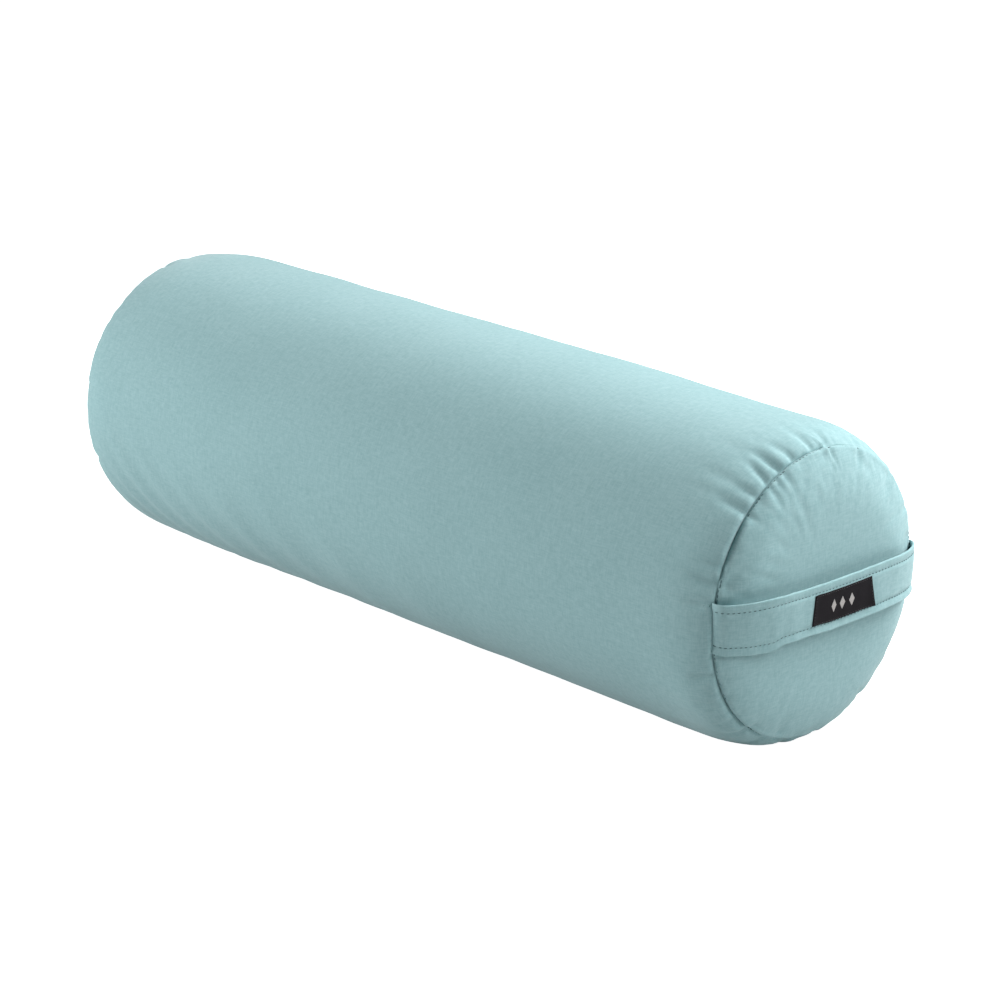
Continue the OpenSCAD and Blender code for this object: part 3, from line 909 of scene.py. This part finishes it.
def zip_place(x, up, r):
    """A point at x, a distance up from the middle of the zip, and a radius out from the axis."""
    x, up, r = np.broadcast_arrays(x, up, r)
    axis = np.array([0, 0, AXIS_Z])
    return axis + x[..., None] * np.array([1, 0, 0]) + up[..., None] * ZIP_UP + r[..., None] * ZIP_OUT


def make_coils(material):
    """The two halves of the nylon coil: flattened spirals whose turns lie between each other's."""
    low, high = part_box("zipper_coil_upper")
    pitch, wire = 1.6 * MM, 0.32 * MM
    per_turn, sides = 11, 5
    half_h = 0.8 * MM
    # The heads stand apart where the slider's post comes to rest at the open end
    slider_low, slider_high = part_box("zipper_slider")
    post_x = (slider_low.x + slider_high.x) / 2 + POST_OFFSET - SLIDER_TRAVEL
    turns = int((high.x - low.x) / pitch)
    angle = np.linspace(0, 2 * np.pi * turns, turns * per_turn + 1)
    # The head that locks in is squarer than the back that is sewn to the tape
    reach = 1.3 + 1.5 * np.sign(np.cos(angle)) * np.abs(np.cos(angle)) ** 0.8
    for half_name, way, phase in (("upper", 1, 0), ("lower", -1, math.pi)):
        x = low.x + 0.5 * MM + (angle + phase) / (2 * np.pi) * pitch
        up = way * np.maximum(reach, -0.2 + 1.2 * bump(x, post_x, 4.5 * MM)) * MM
        line = zip_place(x, up, COIL_R + half_h * np.sin(angle) * way)
        along = unit(np.gradient(line, axis=0))
        side = unit(np.cross(along, np.array([1.0, 0, 0])))
        points = round_sections(line, wire, side, np.cross(along, side), sides).reshape(-1, 3)
        piece = build_solid("zip_coil_" + half_name, points, tube_faces(len(line), sides))
        dress(piece, material, "bolster", "zipper_coil_" + half_name)


def make_zip_stitches(sewing):
    spans = stitch_spans(-ZIP_HALF_L, ZIP_HALF_L)
    for row_name, way in (("upper", 1), ("lower", -1)):
        turn = ZIP_ANGLE + way * ZIP_STITCH_ROW / COVER_R
        starts, ends = (around_axis(x, COVER_R - 0.3 * MM, turn) for x in spans)
        normals = np.tile([0, -math.sin(turn), math.cos(turn)], (len(starts), 1))
        piece = stitches("zip_topstitch_" + row_name, starts, ends, normals, 0.5 * MM, 0.2 * MM)
        dress(piece, sewing, "bolster", "zipper_topstitch_" + row_name)


# ---------------- materials

class Field:
    """A value over a surface: the output of a node. Its arithmetic adds Math nodes."""

    def __init__(self, node, output=0):
        self.node = node
        self.socket = node.outputs[output]

    def add_node(self, kind, values, output=0):
        """The output of a new node in the same material, fed with the values."""
        return Field(feed(self.node.id_data.nodes.new("ShaderNode" + kind), values), output)

    def work_out(self, operation, first, second=0.0):
        made = self.add_node("Math", {0: first, 1: second})
        made.node.operation = operation
        return made

    def __add__(self, other):
        return self.work_out("ADD", self, other)

    def __mul__(self, other):
        return self.work_out("MULTIPLY", self, other)

    def __rsub__(self, other):
        return self.work_out("SUBTRACT", other, self)

    def __truediv__(self, other):
        return self.work_out("DIVIDE", self, other)

    def __mod__(self, other):
        return self.work_out("MODULO", self, other)

    def __abs__(self):
        return self.work_out("ABSOLUTE", self)

    def __lt__(self, other):
        return self.work_out("LESS_THAN", self, other)


def feed(node, values):
    """Gives a node's inputs, by name or number, a number, a colour or a field each."""
    for key, value in values.items():
        socket = node.inputs[key]
        if isinstance(value, Field):
            node.id_data.links.new(value.socket, socket)
        else:
            socket.default_value = (*value, 1) if socket.type == "RGBA" else value
    return node


def new_material(name):
    """A new material and its shader."""
    material = bpy.data.materials.new(name)
    material.use_nodes = True
    return material, material.node_tree.nodes["Principled BSDF"]


def surface_place(shader, from_uv=False):
    """Places on a surface in metres: the cloth's own flat coordinates, or the object's."""
    nodes = shader.id_data.nodes
    if from_uv:
        node = nodes.new("ShaderNodeUVMap")
        node.uv_map = "cloth"
        return Field(node, "UV")
    return Field(nodes.new("ShaderNodeTexCoord"), "Object")


def mix_colour(share, first, second):
    """A colour between the first and the second."""
    # The node's colour sockets go by number, because other sockets share their names
    colour_a, colour_b, result = 6, 7, 2
    node = share.node.id_data.nodes.new("ShaderNodeMix")
    node.data_type = "RGBA"
    return Field(feed(node, {"Factor": share, colour_a: first, colour_b: second}), result)


def noise(place, scale, detail=2, roughness=0.5):
    values = {"Vector": place, "Scale": scale, "Detail": detail, "Roughness": roughness}
    return place.add_node("TexNoise", values, "Fac")


def streaks(place, scales, detail, roughness=0.5):
    """Noise with its own scale along each axis."""
    return noise(place.add_node("Mapping", {"Vector": place, "Scale": scales}), 1, detail, roughness)


def ramp(value, low, high):
    """Spreads a field so that low becomes 0 and high becomes 1."""
    return value.add_node("MapRange", {"Value": value, "From Min": low, "From Max": high})


def plain_weave(place, pitch):
    """Height of a plain weave, and the places along and across it."""
    along = place.add_node("SeparateXYZ", {0: place})
    across = Field(along.node, 1)
    waves = [place.work_out("COSINE", way * (math.pi / pitch)) for way in (along, across)]
    return abs(waves[0] * waves[1]), along, across


def raise_relief(shader, height, depth, strength=1.0):
    """Fine relief on a surface, up to a depth in metres."""
    bumps = height.add_node("Bump", {"Height": height, "Distance": depth, "Strength": strength})
    feed(shader, {"Normal": bumps})


def woven(name, colour, dark, pitch=0.62 * MM, from_uv=True, relief=0.05 * MM):
    """Matte woven cloth: weave, uneven threads, fine grain, faint broad variation and painted shade in
    the gaps between the threads.
    """
    material, shader = new_material(name)
    place = surface_place(shader, from_uv)
    weave, _, _ = plain_weave(place, pitch)
    threads = (streaks(place, (110, 1100, 110), 2) + streaks(place, (1100, 110, 1100), 2)) * 0.5
    grain = noise(place, 240, 4, 0.78)
    broad = noise(place, 14, 3, 0.55)
    mottled = ramp(threads, 0.38, 0.62) * 0.45 + ramp(grain, 0.35, 0.65) * 0.45
    mottled = (mottled + ramp(broad, 0.3, 0.7) * 0.15) * 0.65
    # Painted shade: the gaps between the threads are darkened a little towards the dark colour
    weave_gap_shade = (1.0 - weave) * 0.22
    feed(shader, {"Base Color": mix_colour(weave_gap_shade, mix_colour(mottled, colour, dark), dark),
                  "Roughness": grain * 0.12 + 0.84, "Specular IOR Level": 0.25,
                  "Sheen Weight": 0.16, "Sheen Roughness": 0.5})
    raise_relief(shader, weave + threads * 1.2 + grain * 0.8, relief, 0.8)
    return material


def twisted_thread(name, colour, dark):
    """Sewing thread: fine plies and a soft shine."""
    material, shader = new_material(name)
    place = surface_place(shader)
    plies = place.add_node("TexWave", {"Vector": place, "Scale": 700, "Distortion": 2}, "Fac")
    plies.node.bands_direction = "DIAGONAL"
    feed(shader, {"Base Color": mix_colour(plies, dark, colour), "Roughness": 0.6, "Sheen Weight": 0.1})
    raise_relief(shader, plies, 0.04 * MM)
    return material


def worn_metal(name, colour):
    """Nickel plate with fine tumbling marks."""
    material, shader = new_material(name)
    place = surface_place(shader)
    marks = streaks(place, (300, 2500, 2500), 3)
    tint = mix_colour(noise(place, 220), colour, tuple(0.8 * part for part in colour))
    feed(shader, {"Base Color": tint, "Metallic": 1, "Roughness": marks * 0.25 + 0.2})
    raise_relief(shader, marks, 0.01 * MM)
    return material


def nylon(name, colour):
    """Slightly shiny nylon with faint unevenness."""
    material, shader = new_material(name)
    uneven = noise(surface_place(shader), 900)
    tint = mix_colour(uneven, colour, tuple(0.75 * part for part in colour))
    feed(shader, {"Base Color": tint, "Roughness": uneven * 0.2 + 0.3})
    return material


def fuzzy(name, colour, dark):
    """Cotton batting: matted fibres with a soft, broken surface."""
    material, shader = new_material(name)
    place = surface_place(shader)
    fibres = streaks(place, (700, 220, 220), 6, 0.7)
    lumps = noise(place, 60, 4, 0.6)
    feed(shader, {"Base Color": mix_colour(ramp(fibres, 0.3, 0.7), colour, dark), "Roughness": 1,
                  "Sheen Weight": 0.3})
    raise_relief(shader, fibres + lumps * 2.0, 0.8 * MM)
    return material


def label_weave():
    """Black damask with three small pale lozenges woven in."""
    material, shader = new_material("label_weave")
    place = surface_place(shader, True)
    weave, along, across = plain_weave(place, 0.3 * MM)
    base = mix_colour(noise(place, 1500), (0.008, 0.007, 0.009), (0.016, 0.014, 0.017))
    # The lozenges stand side by side in a stretch of three spacings, centred on the label
    spacing, half_l, half_w = 9 * MM, 2.6 * MM, 4.2 * MM
    reach = 1.5 * spacing
    off = abs(spacing / 2 - (along + reach) % spacing)
    filled = (off / half_l + abs(across) / half_w < 1.0) * (abs(along) < reach)
    tint = mix_colour(filled * ramp(weave, -0.6, 0.5), base, (0.5, 0.48, 0.47))
    feed(shader, {"Base Color": tint, "Roughness": 0.8, "Specular IOR Level": 0.12})
    raise_relief(shader, weave + filled * 0.6, 0.05 * MM)
    return material


def dress_cad_pieces(finishes):
    """Gives the CAD pieces that stay their own finishes: (start of a piece's name, material)."""
    for name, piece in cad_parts.items():
        for start, material in finishes:
            if name.startswith(start):
                piece.data.materials.clear()
                piece.data.materials.append(material)


def soften_metal_edges():
    for name in ("zipper_slider", "zipper_pull_tab", "zipper_top_stops", "zipper_bottom_stop"):
        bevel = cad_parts[name].modifiers.new("worn_edges", "BEVEL")
        bevel.width = 0.12 * MM
        bevel.segments = 2
        bevel.limit_method = "ANGLE"
        bevel.angle_limit = math.radians(35)


# ---------------- stage, light and camera

FLOOR_HALF = 9
# Name, azimuth and elevation in degrees, and power in watts
LIGHTS = (("over_back", 70, 42, 53), ("low_left", 230, 12, 31.5), ("over_handle", 10, 36, 17),
          ("top", 45, 85, 5))
LIGHT_DISTANCE = 1.9
LIGHT_SIZE = 1.2
LIGHT_TARGET = Vector((0.05, 0, 0.1))
# The photo's view: where the camera stands, which way it faces and how far it leans over
CAMERA_PLACE = (1.53971, -1.49703, 0.81968)
CAMERA_AZIMUTH = math.radians(45.2195)
CAMERA_ELEVATION = math.radians(18.7486)
CAMERA_ROLL = math.radians(0.8142)
CAMERA_LENS = 109.76


def seen_by_camera(node):
    """1 for what the camera sees directly, and 0 for light on its way to other things."""
    return Field(node.id_data.nodes.new("ShaderNodeLightPath"), "Is Camera Ray")


def make_floor():
    """Pale paper, which the camera sees as white and which lights the bolster a little."""
    corners = [(x * FLOOR_HALF, y * FLOOR_HALF, 0) for x, y in ((-1, -1), (1, -1), (1, 1), (-1, 1))]
    floor = build_mesh("floor", corners, [(0, 1, 2, 3)])
    material, shader = new_material("floor_paper")
    seen = seen_by_camera(shader)
    feed(shader, {"Base Color": (0.5, 0.5, 0.5), "Roughness": 0.9, "Emission Color": (1, 1, 1),
                  "Emission Strength": seen * 0.85 + 0.12})
    floor.data.materials.append(material)


def make_light():
    """Four large soft lights, over the back, low at the far left, over the handle end and on top,
    in a studio that the camera sees as white but that gives little light."""
    world = bpy.data.worlds.new("studio")
    world.use_nodes = True
    background = world.node_tree.nodes["Background"]
    feed(background, {"Color": (1, 1, 1), "Strength": seen_by_camera(background) + 0.04})
    bpy.context.scene.world = world
    for name, azimuth, elevation, power in LIGHTS:
        azimuth = math.radians(azimuth)
        elevation = math.radians(elevation)
        flat = LIGHT_DISTANCE * math.cos(elevation)
        data = bpy.data.lights.new(name, "AREA")
        data.shape = "DISK"
        data.size = LIGHT_SIZE
        data.energy = power
        lamp = link_object(name, data)
        lamp.location = (flat * math.cos(azimuth), flat * math.sin(azimuth),
                         LIGHT_TARGET.z + LIGHT_DISTANCE * math.sin(elevation))
        lamp.rotation_mode = "QUATERNION"
        lamp.rotation_quaternion = (LIGHT_TARGET - lamp.location).to_track_quat("-Z", "Y")


def make_camera():
    """The photo's view, from the handle end and the front."""
    data = bpy.data.cameras.new("camera")
    data.sensor_width = 36
    data.lens = CAMERA_LENS
    data.clip_end = 60
    flat = math.cos(CAMERA_ELEVATION)
    back = Vector((math.sin(CAMERA_AZIMUTH) * flat, -math.cos(CAMERA_AZIMUTH) * flat,
                   math.sin(CAMERA_ELEVATION)))
    level = Vector((math.cos(CAMERA_AZIMUTH), math.sin(CAMERA_AZIMUTH), 0))
    upright = back.cross(level)
    right = level * math.cos(CAMERA_ROLL) + upright * math.sin(CAMERA_ROLL)
    up = upright * math.cos(CAMERA_ROLL) - level * math.sin(CAMERA_ROLL)
    camera = link_object("camera", data)
    turned = Matrix((right, up, back)).transposed()
    camera.matrix_world = Matrix.Translation(CAMERA_PLACE) @ turned.to_4x4()
    bpy.context.scene.camera = camera


# ---------------- the whole scene

CANVAS_COLOUR = (0.362, 0.55, 0.57)
CANVAS_DARK = (0.18, 0.345, 0.365)
canvas = woven("canvas", CANVAS_COLOUR, CANVAS_DARK)
strap_canvas = woven("strap_canvas", CANVAS_COLOUR, CANVAS_DARK)
# The sewing thread has the canvas's hue, and its dark teal is painted shade: the shade of the stitch
# holes and seam grooves it lies in
thread = twisted_thread("sewing_thread", (0.07, 0.15, 0.165), (0.035, 0.08, 0.09))
pale_thread = twisted_thread("liner_thread", (0.8, 0.76, 0.66), (0.6, 0.56, 0.48))
black_thread = twisted_thread("label_thread", (0.03, 0.028, 0.032), (0.012, 0.01, 0.013))
webbing = woven("webbing", (0.75, 0.71, 0.62), (0.55, 0.51, 0.43), 1.1 * MM, relief=0.15 * MM)
calico = woven("calico", (0.82, 0.78, 0.68), (0.66, 0.61, 0.5), 0.55 * MM, from_uv=False)
tape_weave = woven("zipper_tape", (0.30, 0.47, 0.49), (0.2, 0.33, 0.35), 0.5 * MM, from_uv=False)
batting = fuzzy("cotton_batting", (0.9, 0.87, 0.8), (0.72, 0.68, 0.58))
coil_nylon = nylon("zipper_nylon", (0.24, 0.40, 0.43))
metal = worn_metal("zipper_metal", (0.62, 0.62, 0.63))

make_cover(canvas)
seam_stitches("handle", 1, thread)
seam_stitches("plain", -1, thread)
make_strap(strap_canvas, webbing, thread)
make_label(label_weave(), black_thread)
anchor_stitches(thread)
make_coils(coil_nylon)
make_zip_stitches(thread)
dress_cad_pieces((("zipper_tape", tape_weave), ("zipper_top_stops", metal), ("zipper_bottom", metal),
                  ("zipper_slider", metal), ("zipper_pull", metal), ("liner_sleeve", calico),
                  ("liner_end", calico), ("liner_seam_thread", pale_thread),
                  ("liner_closing", pale_thread), ("batting", batting)))
soften_metal_edges()
make_floor()
make_light()
make_camera()
bpy.context.scene.view_settings.view_transform = "Standard"
